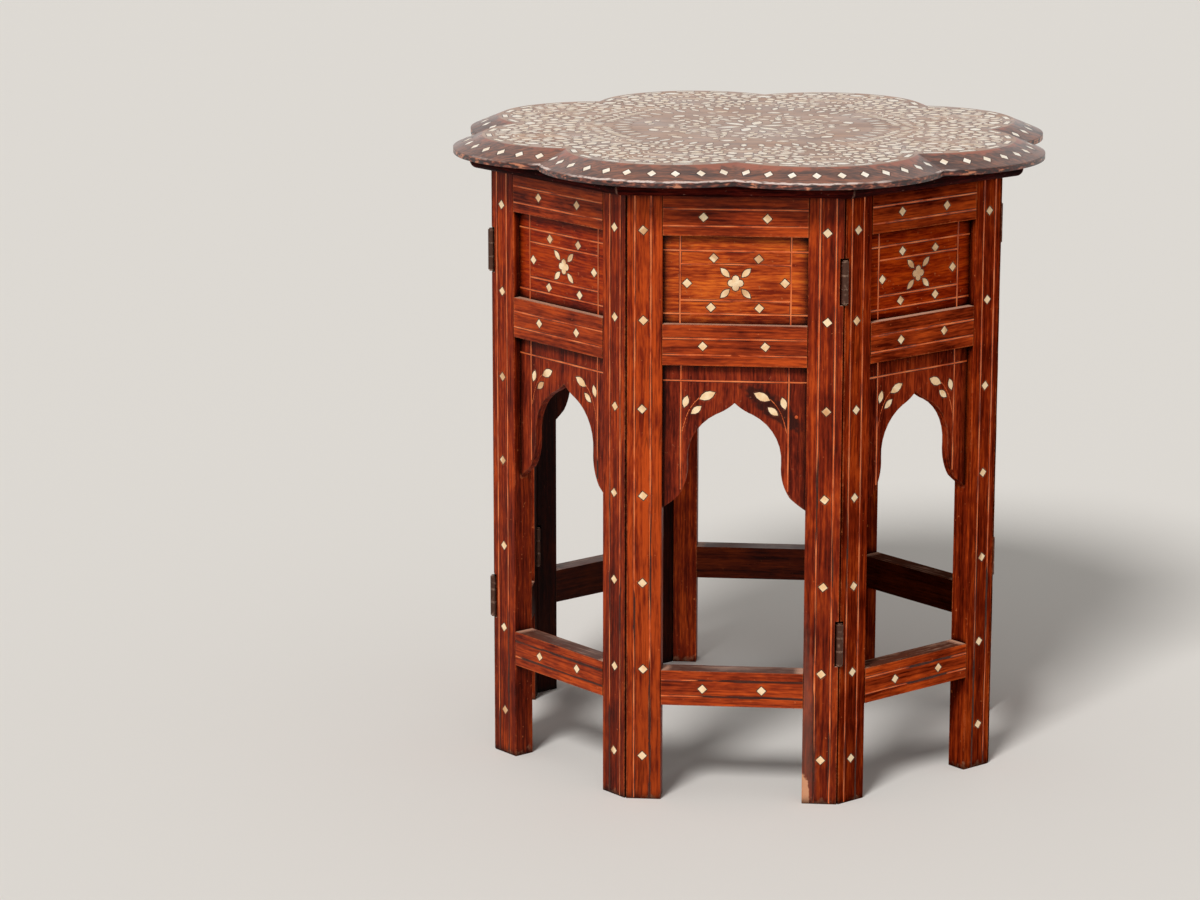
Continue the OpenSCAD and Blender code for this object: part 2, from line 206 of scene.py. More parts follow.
def rosewoodGrain(tree, look, sides=True):
    size = rosewood
    up = look["grain"] == "up"
    coordinates = addNode(tree, "TexCoord")
    local, facing = coordinates.outputs["Object"], coordinates.outputs["Normal"]
    drawn, turn = local, None
    if sides:
        turn, back, local = turnToFront(tree, local)
        facing = addNode(tree, "VectorRotate", {"Vector": facing, "Angle": back}, rotation_type="Z_AXIS")
        # each side is from its own piece of wood
        apart = addNode(
            tree, "VectorRotate", {"Vector": size["apart"], "Angle": turn}, rotation_type="Z_AXIS")
        drawn = addNode(tree, "VectorMath", {0: local, 1: apart}, operation="ADD")
    share = {kind: size[kind][2] for kind in ("streak", "fibre", "band", "mottle", "stain")}
    for kind in ("fibre", "mottle"):
        share[kind] *= look.get("figure", 1)
    tone = 0.5 * (1 - sum(share.values()))  # so that the tone's middle stays 0.5
    if "brightStile" in look:
        leftHalf = addNode(tree, "SeparateXYZ", {0: local}).outputs["X"]
        leftHalf = addNode(tree, "Math", {0: leftHalf, 1: 0}, operation="LESS_THAN")
        atFront = addNode(tree, "Math", {0: turn, 1: 0, 2: 0.1}, operation="COMPARE")
        bright = addNode(tree, "Math", {0: leftHalf, 1: atFront}, operation="MULTIPLY")
        tone = addNode(tree, "Math", {0: bright, 1: look["brightStile"], 2: tone}, operation="MULTIPLY_ADD")
    stray = addNode(tree, "TexNoise", {"Vector": drawn, "Scale": 1 / mm(size["wanderEvery"]), "Detail": 1})
    sideways = (mm(size["wander"]), 0, 0) if up else (0, mm(size["wander"]), mm(size["wander"]))
    drawn = addNode(
        tree, "VectorMath", {0: stray.outputs["Color"], 1: sideways, 2: drawn}, operation="MULTIPLY_ADD")
    long, short = (
        addNode(tree, "Mapping", {"Vector": drawn, "Scale": (1, 1, stretch) if up else (stretch, 1, 1)})
        for stretch in (size["stretch"], size["shortStretch"])
    )
    courses = {"streak": long, "fibre": short, "band": long, "mottle": short, "stain": drawn}
    patterns = {}
    for kind, course in courses.items():
        across, detail, _ = size[kind]
        pattern = addNode(tree, "TexNoise", {"Vector": course, "Scale": 1 / mm(across), "Detail": detail})
        tone = addNode(tree, "Math", {0: pattern, 1: share[kind], 2: tone}, operation="MULTIPLY_ADD")
        patterns[kind] = pattern
    shades = (look["dark"], look["middle"], look["light"])
    colour = addNode(tree, "ValToRGB", {"Fac": tone}, stops=zip(size["stops"], shades))
    # growth lines, a few to each broad band, broken by the mottle
    ring = addNode(tree, "Math", {0: patterns["band"], 1: size["linesInBand"]}, operation="MULTIPLY")
    ring = addNode(tree, "Math", {0: ring, 1: 0.5}, operation="PINGPONG")
    ring = addNode(tree, "Math", {0: patterns["mottle"], 1: 0.35, 2: ring}, operation="MULTIPLY_ADD")
    ring = addNode(
        tree, "MapRange", {"Value": ring}, span=(0.15, 0.26, look.get("lines", size["lines"]), 0))
    pores = addNode(tree, "TexNoise", {"Vector": long, "Scale": 1 / mm(size["pore"]), "Detail": 1})
    pores = addNode(tree, "MapRange", {"Value": pores}, span=(0.58, 0.7, 0, size["pores"]))
    lines = addNode(tree, "Math", {0: ring, 1: pores}, operation="MAXIMUM")
    colour = addNode(tree, "Mix", {0: lines, 6: colour, 7: look["dark"]})
    # fields away from the front are painted darker, partly stain and partly painted shade
    if "sides" in look:
        away = addNode(tree, "Math", {0: turn}, operation="ABSOLUTE")
        away = addNode(tree, "Math", {0: away, 1: 0.1}, operation="GREATER_THAN")
        colour = addNode(tree, "Mix", {0: away, 6: colour, 7: look["sides"]}, blend_type="MULTIPLY")
    return {
        "local": local, "facing": facing, "turn": turn, "tone": tone, "stain": patterns["stain"],
        "colour": colour,
    }


def wearAndPolish(tree, wood, colour, look):
    size = rosewood
    # edges are rubbed in stretches, and knocks in the faces show the same colour
    edge = addNode(
        tree, "AmbientOcclusion", {"Distance": mm(size["rubbed"])}, samples=4, inside=True, only_local=True)
    nicks = addNode(tree, "TexNoise", {
        "Vector": wood["local"], "Scale": 1 / mm(size["knock"]), "Detail": 2})
    worn = edge.outputs["AO"]
    for uneven in (wood["stain"], nicks):
        worn = addNode(tree, "Math", {0: uneven, 1: -0.9, 2: worn}, operation="MULTIPLY_ADD")
    worn = addNode(tree, "MapRange", {"Value": worn}, span=(-0.5, -0.2, 0.65, 0))
    knocks = addNode(tree, "MapRange", {"Value": nicks}, span=(0.7, 0.75, 0, 0.6))
    worn = addNode(tree, "Math", {0: worn, 1: knocks}, operation="MAXIMUM")
    colour = addNode(tree, "Mix", {0: worn, 6: colour, 7: look["worn"]})
    # painted shade and dirt darken corners and recesses nearly to black
    corner = addNode(tree, "AmbientOcclusion", {"Distance": mm(size["shadeAndGrimeReach"])}, samples=6).outputs["AO"]
    shadeAndGrime = addNode(tree, "MapRange", {"Value": corner}, span=(0.52, 0.9, 0.04))
    facing = addNode(tree, "SeparateXYZ", {0: wood["facing"]})
    # the back frame's turn is pi
    back = addNode(tree, "Math", {0: wood["turn"]}, operation="ABSOLUTE")
    back = addNode(tree, "MapRange", {"Value": back}, span=(2.5, 3, *look["inside"]))
    # painted shade on the inner faces, and painted light on the back frame's where inside is above 1
    insideLightAndShade = addNode(tree, "MapRange", {"Value": facing.outputs["Y"]}, span=(0.3, 0.6, 1, back))
    shadeAndGrime = addNode(tree, "Math", {0: shadeAndGrime, 1: insideLightAndShade}, operation="MULTIPLY")
    colour = addNode(tree, "Mix", {0: 1, 6: colour, 7: shadeAndGrime}, blend_type="MULTIPLY")
    # dust with a painted sheen lies on what faces up, thick and pale in corners, thin and brown in the open,
    # none where rubbed
    dustAndSheenShare = addNode(tree, "MapRange", {"Value": facing.outputs["Z"]}, span=(0.8, 0.95, 0, 0.85))
    wiped = addNode(tree, "Math", {0: worn, 1: -1.2, 2: 1}, operation="MULTIPLY_ADD")
    dustAndSheenShare = addNode(tree, "Math", {0: dustAndSheenShare, 1: wiped}, operation="MULTIPLY")
    thick = addNode(tree, "Math", {0: wood["tone"], 1: 0.7, 2: corner}, operation="MULTIPLY_ADD")
    thick = addNode(tree, "MapRange", {"Value": thick}, span=(1.1, 1.36))
    dustAndSheen = addNode(tree, "Mix", {0: thick, 6: size["dustAndSheenCorner"], 7: size["dustAndSheenOpen"]})
    colour = addNode(tree, "Mix", {0: dustAndSheenShare, 6: colour, 7: dustAndSheen})
    rough = look["rough"]
    rough = addNode(tree, "MapRange", {"Value": wood["stain"]}, span=(0.3, 0.7, rough - 0.08, rough + 0.12))
    soft = addNode(tree, "Bevel", {"Radius": mm(size["roundEdge"])}, samples=4)
    bump = addNode(tree, "Bump", {
        "Height": wood["tone"], "Normal": soft, "Distance": mm(size["relief"]), "Strength": 0.4})
    return {
        "Base Color": colour, "Roughness": rough, "Normal": bump, "IOR": 1.5,
        "Specular IOR Level": look["shine"],
    }


# Damage of one place: a ragged patch, slanted about its middle, in mm and degrees, that hides a share of
# what is under it
mastic = {  # an old repair, run in round the right sprig of the front board
    "middle": (27, -183, 293.5), "slant": -37, "reach": (31, 6, 9), "soft": 0.24, "share": 0.86,
    "colour": "#28120e",
}
footChip = {
    "middle": (52, -187, 5), "slant": 4, "reach": (6, 6, 22), "soft": 0.1, "share": 0.9,
    "colour": "#cf9470",
}
footScuff = {
    "middle": (54, -187, 60), "slant": 2, "reach": (6, 6, 75), "soft": 0.9, "share": 0.3,
    "colour": "#8f6455",
}
# its edge is where the distance, 1 at the reach, and the ragged share of a noise add up to end
patchEdge = {"every": 5.5, "ragged": 0.9, "end": 1.34}


def raggedPatch(tree, look, colour):
    place = addNode(tree, "TexCoord").outputs["Object"]
    centred = addNode(
        tree, "VectorMath", {0: place, 1: [mm(v) for v in look["middle"]]}, operation="SUBTRACT")
    slanted = addNode(tree, "VectorRotate", {
        "Vector": centred, "Angle": math.radians(look["slant"])}, rotation_type="Y_AXIS")
    shrunk = addNode(tree, "Mapping", {"Vector": slanted, "Scale": [1 / mm(v) for v in look["reach"]]})
    away = addNode(tree, "VectorMath", {0: shrunk}, operation="LENGTH").outputs["Value"]
    noise = addNode(tree, "TexNoise", {"Vector": place, "Scale": 1 / mm(patchEdge["every"]), "Detail": 4})
    away = addNode(tree, "Math", {0: noise, 1: patchEdge["ragged"], 2: away}, operation="MULTIPLY_ADD")
    end, half = patchEdge["end"], look["soft"] / 2
    within = addNode(tree, "MapRange", {"Value": away}, span=(end - half, end + half, look["share"], 0))
    return addNode(tree, "Mix", {0: within, 6: colour, 7: look["colour"]})


# Feet: mops have scuffed the lowest few mm pale, and the legs are painted darker towards the floor, a
# painted shade
feet = {
    "scuffed": "#a97a5c",
    "scuffShare": 0.6,
    "scuffEnd": (11, 18),  # mm of height, with what the ragged noise adds
    "ragged": (4, 30),  # mm across and high
    "floorShade": 0.7,  # how much of the colour is left at the floor
    "floorShadeEnd": (40, 260),  # mm
}


def uprightMaterial(tree, look):
    wood = rosewoodGrain(tree, look)
    place = addNode(tree, "SeparateXYZ", {0: wood["local"]})
    across, height = place.outputs["X"], place.outputs["Z"]
    every, high = feet["ragged"]
    noise = addNode(tree, "TexNoise", {"Vector": wood["local"], "Scale": 1 / mm(every), "Detail": 3})
    scuff = addNode(tree, "Math", {0: noise, 1: mm(high), 2: height}, operation="MULTIPLY_ADD")
    scuff = addNode(
        tree, "MapRange", {"Value": scuff}, span=(*map(mm, feet["scuffEnd"]), feet["scuffShare"], 0))
    # painted shade: the legs grow darker towards the floor
    floorShade = addNode(tree, "MapRange", {"Value": height}, span=(*map(mm, feet["floorShadeEnd"]), feet["floorShade"]))
    colour = addNode(tree, "Mix", {0: 1, 6: wood["colour"], 7: floorShade}, blend_type="MULTIPLY")
    colour = addNode(tree, "Mix", {0: scuff, 6: colour, 7: feet["scuffed"]})
    for patch in (footScuff, footChip):
        colour = raggedPatch(tree, patch, colour)
    # every second corner opens on the outside, so its edges stand a little apart and are black with dirt:
    # the cosine is 1 on every second side and -1 on the others
    opens = addNode(tree, "Math", {0: wood["turn"], 1: stand["frames"] / 2}, operation="MULTIPLY")
    opens = addNode(tree, "Math", {0: opens}, operation="COSINE")
    opens = addNode(tree, "Math", {0: opens, 1: across}, operation="MULTIPLY")
    opens = addNode(tree, "Math", {0: noise, 1: mm(-1.2), 2: opens}, operation="MULTIPLY_ADD")
    blackFrom, blackTo = look["openJoint"]
    opens = addNode(tree, "MapRange", {"Value": opens}, span=(-mm(blackFrom), -mm(blackTo), 0.04))
    colour = addNode(tree, "Mix", {0: 1, 6: colour, 7: opens}, blend_type="MULTIPLY")
    return wearAndPolish(tree, wood, colour, look)


def archMaterial(tree, look):
    wood = rosewoodGrain(tree, look)
    return wearAndPolish(tree, wood, raggedPatch(tree, mastic, wood["colour"]), look)


def rosewoodMaterial(tree, look):
    wood = rosewoodGrain(tree, look)
    return wearAndPolish(tree, wood, wood["colour"], look)


# The top is the same wood, waxed and wiped for years: dry brown between the bone, plum-brown on the bevel,
# rubbed red in stretches of the bevel's rim, bruised and split on the upright edge
waxedTop = {
    "dark": "#6d452c", "middle": "#9c6c4c", "light": "#ba8862", "grain": "level",
    "medallion": "#997763",  # a little greyer towards the middle
    "medallionReach": (45, 105),  # mm, with what the noise adds
    "bevel": ("#331710", "#5d3626", "#8e5338"),
    "rim": "#a4563a",
    "edge": ("#180604", "#3f130c", "#8c4a35"),
    "bruise": "#c9805c",
    "lipHighlight": "#ecd6cb",
    "bevelHeight": 9,  # mm
    "chip": 2.2,  # mm across a splinter of the edge
    "ragged": 7,  # mm across what makes the rubbed rim ragged
    "wide": 42,  # mm from a more worn stretch to a less worn one
    "shadeAndGrimeReach": 6,  # mm that painted shade and dirt reach out of a corner
    "relief": 0.4,  # mm
    "roundEdge": 1.2,  # mm
    "rough": 0.34, "wax": 0.28, "waxRough": 0.25,
}


def topMaterial(tree, look):
    wood = rosewoodGrain(tree, look, sides=False)
    place = addNode(tree, "TexCoord").outputs["Object"]
    # radius and drop, the depth under the face, are in mm
    flat = addNode(tree, "Mapping", {"Vector": place, "Scale": (1000, 1000, 0)})
    radius = addNode(tree, "VectorMath", {0: flat}, operation="LENGTH").outputs["Value"]
    parted = addNode(tree, "SeparateXYZ", {0: place})
    height, deep = parted.outputs["Z"], parted.outputs["Y"]
    face = tableTop["face"] * 1000
    drop = addNode(tree, "Math", {0: height, 1: -1000, 2: face}, operation="MULTIPLY_ADD")
    ragged = addNode(tree, "TexNoise", {"Vector": place, "Scale": 1 / mm(look["ragged"]), "Detail": 4})
    wide = addNode(tree, "TexNoise", {"Vector": place, "Scale": 1 / mm(look["wide"]), "Detail": 2})
    # the edge splinters along its length
    low = addNode(tree, "Mapping", {"Vector": place, "Scale": (0.4, 0.4, 1.3)})
    chips = addNode(tree, "TexNoise", {"Vector": low, "Scale": 1 / mm(look["chip"]), "Detail": 4})
    grey = addNode(tree, "Math", {0: wide, 1: 40, 2: radius}, operation="MULTIPLY_ADD")
    grey = addNode(tree, "MapRange", {"Value": grey}, span=(*look["medallionReach"], 0.4, 0))
    colour = addNode(tree, "Mix", {0: grey, 6: wood["colour"], 7: look["medallion"]})
    bevel = addNode(tree, "ValToRGB", {"Fac": wood["tone"]}, stops=[
        (0.36, look["bevel"][0]), (0.5, look["bevel"][1]), (0.64, look["bevel"][2])])
    onBevel = addNode(tree, "MapRange", {"Value": drop}, span=(0.02, 0.1))
    colour = addNode(tree, "Mix", {0: onBevel, 6: colour, 7: bevel})
    # the rim is rubbed red in some stretches, further down in one than in another
    rubbed = addNode(tree, "MapRange", {"Value": wide}, span=(0.42, 0.62, 0, 2.6))
    rim = addNode(tree, "Math", {0: ragged, 1: -9, 2: drop}, operation="MULTIPLY_ADD")
    rim = addNode(tree, "Math", {0: rim, 1: rubbed}, operation="SUBTRACT")
    rim = addNode(tree, "MapRange", {"Value": rim}, span=(-5.4, -3.6, 0.75, 0))
    rim = addNode(tree, "Math", {0: rim, 1: onBevel}, operation="MULTIPLY")
    colour = addNode(tree, "Mix", {0: rim, 6: colour, 7: look["rim"]})
    # a painted highlight lies along the lip over the upright edge, towards the front (low y) and in
    # stretches, and the lip is chipped elsewhere
    highlightStretch = addNode(tree, "Math", {0: deep, 1: -2, 2: wide}, operation="MULTIPLY_ADD")
    highlightStretch = addNode(tree, "MapRange", {"Value": highlightStretch}, span=(0.8, 0.9))
    lipHighlight = addNode(tree, "Math", {0: ragged, 1: 1.6, 2: drop}, operation="MULTIPLY_ADD")
    lipHighlight = addNode(tree, "Math", {0: lipHighlight, 1: look["bevelHeight"] + 0.7, 2: 0.55}, operation="COMPARE")
    lipHighlight = addNode(tree, "Math", {0: lipHighlight, 1: highlightStretch}, operation="MULTIPLY")
    whole = addNode(tree, "MapRange", {"Value": chips}, span=(0.4, 0.5, 0.15, 0.8))
    lipHighlight = addNode(tree, "Math", {0: lipHighlight, 1: whole}, operation="MULTIPLY")
    edge = addNode(tree, "ValToRGB", {"Fac": chips}, stops=[
        (0.38, look["edge"][0]), (0.5, look["edge"][1]), (0.66, look["edge"][2])])
    bruised = addNode(tree, "Math", {0: ragged, 1: chips}, operation="MULTIPLY")
    bruised = addNode(tree, "Math", {0: wide, 1: 0.45, 2: bruised}, operation="MULTIPLY_ADD")
    bruised = addNode(tree, "Math", {0: highlightStretch, 1: -0.06, 2: bruised}, operation="MULTIPLY_ADD")
    bruised = addNode(tree, "MapRange", {"Value": bruised}, span=(0.5, 0.58, 0, 0.85))
    edge = addNode(tree, "Mix", {0: bruised, 6: edge, 7: look["bruise"]})
    high = look["bevelHeight"]
    below = addNode(tree, "MapRange", {"Value": drop}, span=(high + 0.1, high + 0.5))
    colour = addNode(tree, "Mix", {0: below, 6: colour, 7: edge})
    colour = addNode(tree, "Mix", {0: lipHighlight, 6: colour, 7: look["lipHighlight"]})
    # painted shade and dirt darken the corners of the top
    corner = addNode(tree, "AmbientOcclusion", {"Distance": mm(look["shadeAndGrimeReach"])}, samples=4)
    shadeAndGrime = addNode(tree, "MapRange", {"Value": corner.outputs["AO"]}, span=(0.35, 0.9, 0.3))
    colour = addNode(tree, "Mix", {0: 1, 6: colour, 7: shadeAndGrime}, blend_type="MULTIPLY")
    rough = look["rough"]
    rough = addNode(tree, "MapRange", {"Value": wide}, span=(0.3, 0.7, rough - 0.08, rough + 0.14))
    relief = addNode(tree, "Math", {0: chips, 1: below}, operation="MULTIPLY")
    relief = addNode(tree, "Math", {0: relief, 1: 4, 2: wood["tone"]}, operation="MULTIPLY_ADD")
    soft = addNode(tree, "Bevel", {"Radius": mm(look["roundEdge"])}, samples=4)
    bump = addNode(tree, "Bump", {
        "Height": relief, "Normal": soft, "Distance": mm(look["relief"]), "Strength": 0.5})
    return {
        "Base Color": colour, "Roughness": rough, "Normal": bump, "IOR": 1.5,
        "Coat Weight": look["wax"], "Coat Roughness": look["waxRough"],
    }


# Camel or cattle bone, sawn into slips, set in lac and sanded flush: cream, yellower here and there, with
# brown canals, which are 0.1 mm wide and drawn coarser. Sizes are in mm
standBone = {
    "pale": "#f8dcb2", "deep": "#ecbf8b", "canal": "#94653a", "patch": 7, "canalWidth": 0.5,
    "stained": "#b5763c", "stainEvery": 24,  # polish has soaked into about one slip in ten
}
topBone = {"pale": "#fbecda", "deep": "#f0d8ba", "canal": "#94765a", "patch": 9, "canalWidth": 0.6}
largeBone = {"pale": "#fff5e6", "deep": "#f6e2c8", "canal": "#a88c70", "patch": 9, "canalWidth": 0.6}


def boneMaterial(tree, look):
    place = addNode(tree, "TexCoord").outputs["Object"]
    patch = addNode(tree, "TexNoise", {"Vector": place, "Scale": 1 / mm(look["patch"]), "Detail": 1})
    colour = addNode(tree, "ValToRGB", {"Fac": patch}, stops=[(0.34, look["deep"]), (0.6, look["pale"])])
    if "stained" in look:
        soaked = addNode(tree, "TexNoise", {
            "Vector": place, "Scale": 1 / mm(look["stainEvery"]), "Detail": 0})
        soaked = addNode(tree, "MapRange", {"Value": soaked}, span=(0.62, 0.68, 0, 0.6))
        colour = addNode(tree, "Mix", {0: soaked, 6: colour, 7: look["stained"]})
    canal = addNode(tree, "TexNoise", {"Vector": place, "Scale": 1 / mm(look["canalWidth"]), "Detail": 2})
    dirt = addNode(tree, "MapRange", {"Value": canal}, span=(0.6, 0.74, 0, 0.6))
    colour = addNode(tree, "Mix", {0: dirt, 6: colour, 7: look["canal"]})
    bump = addNode(tree, "Bump", {"Height": canal, "Distance": mm(0.08), "Strength": 0.3})
    return {
        "Base Color": colour, "Roughness": 0.35, "Normal": bump, "IOR": 1.54,
        "Specular IOR Level": 0.35, "Coat Weight": 0.1,
    }


# Brass strip hammered into saw cuts, under old stained polish: warm orange, brown where that is thick, and
# lost from its cut in stretches, most of them low on the legs
brassStrip = {
    "thick": "#93330f", "middle": "#d05a26", "bright": "#ec8148",
    "patch": 17,  # mm across a patch of polish
    "lost": "#2c0d07",
    "lostEvery": 85,  # mm
    "apart": 0.7,  # metres between the noise of a stile's two strips
}


def brassStripMaterial(tree, look):
    place = addNode(tree, "TexCoord").outputs["Object"]
    wear = addNode(tree, "TexNoise", {"Vector": place, "Scale": 1 / mm(look["patch"]), "Detail": 4})
    colour = addNode(tree, "ValToRGB", {"Fac": wear}, stops=[
        (0.32, look["thick"]), (0.45, look["middle"]), (0.68, look["bright"])])
    height = addNode(tree, "SeparateXYZ", {0: place}).outputs["Z"]
    # the two strips of a stile are lost at different heights
    across = addNode(tree, "SeparateXYZ", {0: turnToFront(tree, place)[2]}).outputs["X"]
    across = addNode(tree, "Math", {0: across}, operation="ABSOLUTE")
    apart = addNode(tree, "MapRange", {"Value": across}, span=(mm(55), mm(72), 0, look["apart"]))
    apart = addNode(tree, "CombineXYZ", {"X": apart})
    apart = addNode(tree, "VectorMath", {0: apart, 1: place}, operation="ADD")
    lost = addNode(tree, "TexNoise", {"Vector": apart, "Scale": 1 / mm(look["lostEvery"]), "Detail": 1})
    lost = addNode(tree, "Math", {0: height, 1: -0.7, 2: lost}, operation="MULTIPLY_ADD")
    lost = addNode(tree, "MapRange", {"Value": lost}, span=(0.44, 0.46, 0, 0.95))
    colour = addNode(tree, "Mix", {0: lost, 6: colour, 7: look["lost"]})
    rough = addNode(tree, "MapRange", {"Value": wear}, span=(0, 1, 0.6, 0.4))
    bump = addNode(tree, "Bump", {"Height": wear, "Distance": mm(0.2), "Strength": 0.4})
    # the polish over it hides most of the metal
    return {
        "Base Color": colour, "Roughness": rough, "Normal": bump, "Metallic": 0.25,
        "Specular IOR Level": 0.3,
    }


# Lac run in round the bone while hot: a brown-black resin with a low shine
lac = {"dark": "#240e07", "brown": "#552a18", "patch": 3}


def lacMaterial(tree, look):
    place = addNode(tree, "TexCoord").outputs["Object"]
    mottle = addNode(tree, "TexNoise", {"Vector": place, "Scale": 1 / mm(look["patch"]), "Detail": 3})
    colour = addNode(tree, "ValToRGB", {"Fac": mottle}, stops=[(0.4, look["dark"]), (0.65, look["brown"])])
    return {"Base Color": colour, "Roughness": 0.42, "IOR": 1.52, "Specular IOR Level": 0.3}


# Brass and steel unpolished for a century: brown-black, brighter where a knuckle is rubbed. Sizes are in mm
agedBrass = {"dark": "#573c32", "rubbed": "#b08f7c", "spot": 3.5, "edge": 0.8, "shadeAndGrimeReach": 5}
dullSteel = {**agedBrass, "dark": "#3a332c", "rubbed": "#8b8275"}


def agedMetalMaterial(tree, look):
    place = addNode(tree, "TexCoord").outputs["Object"]
    spots = addNode(tree, "TexNoise", {"Vector": place, "Scale": 1 / mm(look["spot"]), "Detail": 4})
    edge = addNode(
        tree, "AmbientOcclusion", {"Distance": mm(look["edge"])}, samples=4, inside=True, only_local=True)
    bright = addNode(tree, "Math", {0: edge.outputs["AO"], 1: -0.6, 2: spots}, operation="MULTIPLY_ADD")
    colour = addNode(tree, "ValToRGB", {"Fac": bright}, stops=[(0.0, look["dark"]), (0.3, look["rubbed"])])
    # painted shade and dirt darken the metal in its corners
    corner = addNode(tree, "AmbientOcclusion", {"Distance": mm(look["shadeAndGrimeReach"])}, samples=4).outputs["AO"]
    shadeAndGrime = addNode(tree, "MapRange", {"Value": corner}, span=(0.3, 0.75, 0.15))
    colour = addNode(tree, "Mix", {0: 1, 6: colour, 7: shadeAndGrime}, blend_type="MULTIPLY")
    rough = addNode(tree, "MapRange", {"Value": spots}, span=(0, 1, 0.38, 0.62))
    bump = addNode(tree, "Bump", {"Height": spots, "Distance": mm(0.1), "Strength": 0.4})
    return {"Base Color": colour, "Roughness": rough, "Metallic": 1, "Normal": bump}


# what each finish is called here, the material's name, its function and its values
finishes = [
    ("upright", "frenchPolishedUpright", uprightMaterial, uprightLook),
    ("rail", "frenchPolishedRail", rosewoodMaterial, railLook),
    ("field", "frenchPolishedField", rosewoodMaterial, fieldLook),
    ("arch", "frenchPolishedArch", archMaterial, archLook),
]
# the same four without shine
finishes += [
    (kind + "Dull", "noSheenSide" + kind.title(), build, {**look, **noSheenSide}) for kind, _, build, look in finishes]
finishes += [
    ("moulding", "darkPolishedShadedMoulding", rosewoodMaterial, mouldingLook),
    ("top", "waxedRosewoodTop", topMaterial, waxedTop),
    ("bone", "sandedBoneStand", boneMaterial, standBone),
    ("topBone", "sandedBoneTop", boneMaterial, topBone),
    ("largeBone", "sandedLargeBoneTop", boneMaterial, largeBone),
    ("strip", "hammeredBrassStrip", brassStripMaterial, brassStrip),
    ("lac", "brownLac", lacMaterial, lac),
    ("hinge", "agedBrass", agedMetalMaterial, agedBrass),
    ("screw", "dullSteel", agedMetalMaterial, dullSteel),
]
finish = {kind: makeMaterial(name, build, look) for kind, name, build, look in finishes}


def paint(node, material):
    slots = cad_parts[node].data.materials
    slots.clear()
    slots.append(material)


for k in range(stand["frames"]):
    # the frames on the right get the copies without shine, a painted lack of reflection
    state = "Dull" if k in noSheenSide["frames"] else ""
    paint(f"stiles_{k}", finish["upright" + state])
    paint(f"rails_{k}", finish["rail" + state])
    paint(f"field_board_{k}", finish["field" + state])
    paint(f"arch_board_{k}", finish["arch" + state])
    paint(f"bone_inlay_{k}", finish["bone"])
    paint(f"hinge_leaves_{k}", finish["hinge"])
    paint(f"hinge_pins_{k}", finish["hinge"])
paint("top_board", finish["top"])
paint("top_bone_inlay", finish["largeBone"])
paint("under_moulding", finish["moulding"])
paint("moulding_screws", finish["screw"])
print("materials made:", len(finish))


# Tools for modelling

def activate(*things):
    for thing in bpy.context.selected_objects:
        thing.select_set(False)
    for thing in things:
        thing.select_set(True)
        bpy.context.view_layer.objects.active = thing


def edit(kind):
    bpy.ops.object.mode_set(mode="EDIT")
    bpy.ops.mesh.select_mode(type=kind)


def selectParts(kind, test):
    mesh = bmesh.from_edit_mesh(bpy.context.object.data)
    chosen = [part for part in getattr(mesh, kind) if test(part)]
    bpy.ops.mesh.select_all(action="DESELECT")
    for part in chosen:
        part.select_set(True)
    bmesh.update_edit_mesh(bpy.context.object.data)


def selectAll():
    bpy.ops.mesh.select_all(action="SELECT")


def doneEditing():
    bpy.ops.object.mode_set(mode="OBJECT")


def joinAll(pieces):
    activate(*pieces)
    bpy.ops.object.join()
    return bpy.context.object


def finishPiece(piece, name, material, body):
    activate(piece)
    bpy.ops.object.transform_apply()
    piece.name = piece.data.name = name
    piece.data.materials.clear()
    piece.data.materials.append(material)
    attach(piece, body)


def meshCopy(piece, *steps):
    twin = piece.copy()
    twin.data = piece.data.copy()
    scene.collection.objects.link(twin)
    for step in steps:
        twin.data.transform(step)
    return twin


# Stringing: brass strips let into the stiles, rails and boards of each frame, and the stems of the sprigs.
# u is measured along a frame's face from its middle, z upwards, in mm

stringing = {
    "width": 1.0,
    "deep": 0.6,
    "proud": 0.12,
    "step": 15,  # a strip wanders a little from one step to the next
    "wander": 0.16,
    "seed": 20,
    "stileU": (59.7, 71.2),
    "stileEnds": (0.8, 446.2),
    "railZ": (79, 91, 331.8, 343.5, 424.6, 436.6),
    "railHalf": 51.3,
    "fieldLongZ": (360.5, 406),
    "fieldShortZ": (370.2, 396.3),
    "fieldUprightU": 39.4,
    "fieldEnds": (353.6, 417.2),
    "archZ": 311.8,
    "archUprightU": 38.5,
    "archEnds": (232, 323.8),
    "stem": ((25.3, 299.3), (30.4, 294.8), (34, 289.5), (35.6, 282.5), (37.4, 274.8)),
    "stemRadius": 0.5,
}
# a wider strip of dark lac under each strip paints a shadow line round it
stripShadow = {**stringing, "width": 1.8, "proud": 0.03, "stemRadius": 0.8}


def layStrip(look, start, end, depth):
    run = Vector((mm(end[0] - start[0]), 0, mm(end[1] - start[1])))
    thick = mm(look["deep"] + look["proud"])
    width = mm(look["width"])
    middle = (mm(start[0] + end[0]) / 2, thick / 2 - depth - mm(look["proud"]), mm(start[1] + end[1]) / 2)
    activate()
    bpy.ops.mesh.primitive_cube_add(size=1, location=middle, scale=(run.x or width, thick, run.z or width))
    strip = bpy.context.object
    bpy.ops.object.transform_apply()
    edit("EDGE")
    # only the long edges are cut into steps
    selectParts("edges", lambda edge: edge.calc_length() > 0.9 * run.length)
    bpy.ops.mesh.subdivide(number_cuts=max(1, round(run.length / mm(look["step"]))))
    doneEditing()
    return strip


def layStem(look, side):
    activate()
    bpy.ops.curve.primitive_nurbs_path_add()
    stem = bpy.context.object
    for point, (u, z) in zip(stem.data.splines[0].points, look["stem"]):
        point.co = (side * mm(u), mm(look["stemRadius"] - look["proud"]) - stand["boardFace"], mm(z), 1)
    stem.data.bevel_depth = mm(look["stemRadius"])
    stem.data.bevel_resolution = 1
    stem.data.use_fill_caps = True
    bpy.ops.object.convert(target="MESH")
    return bpy.context.object


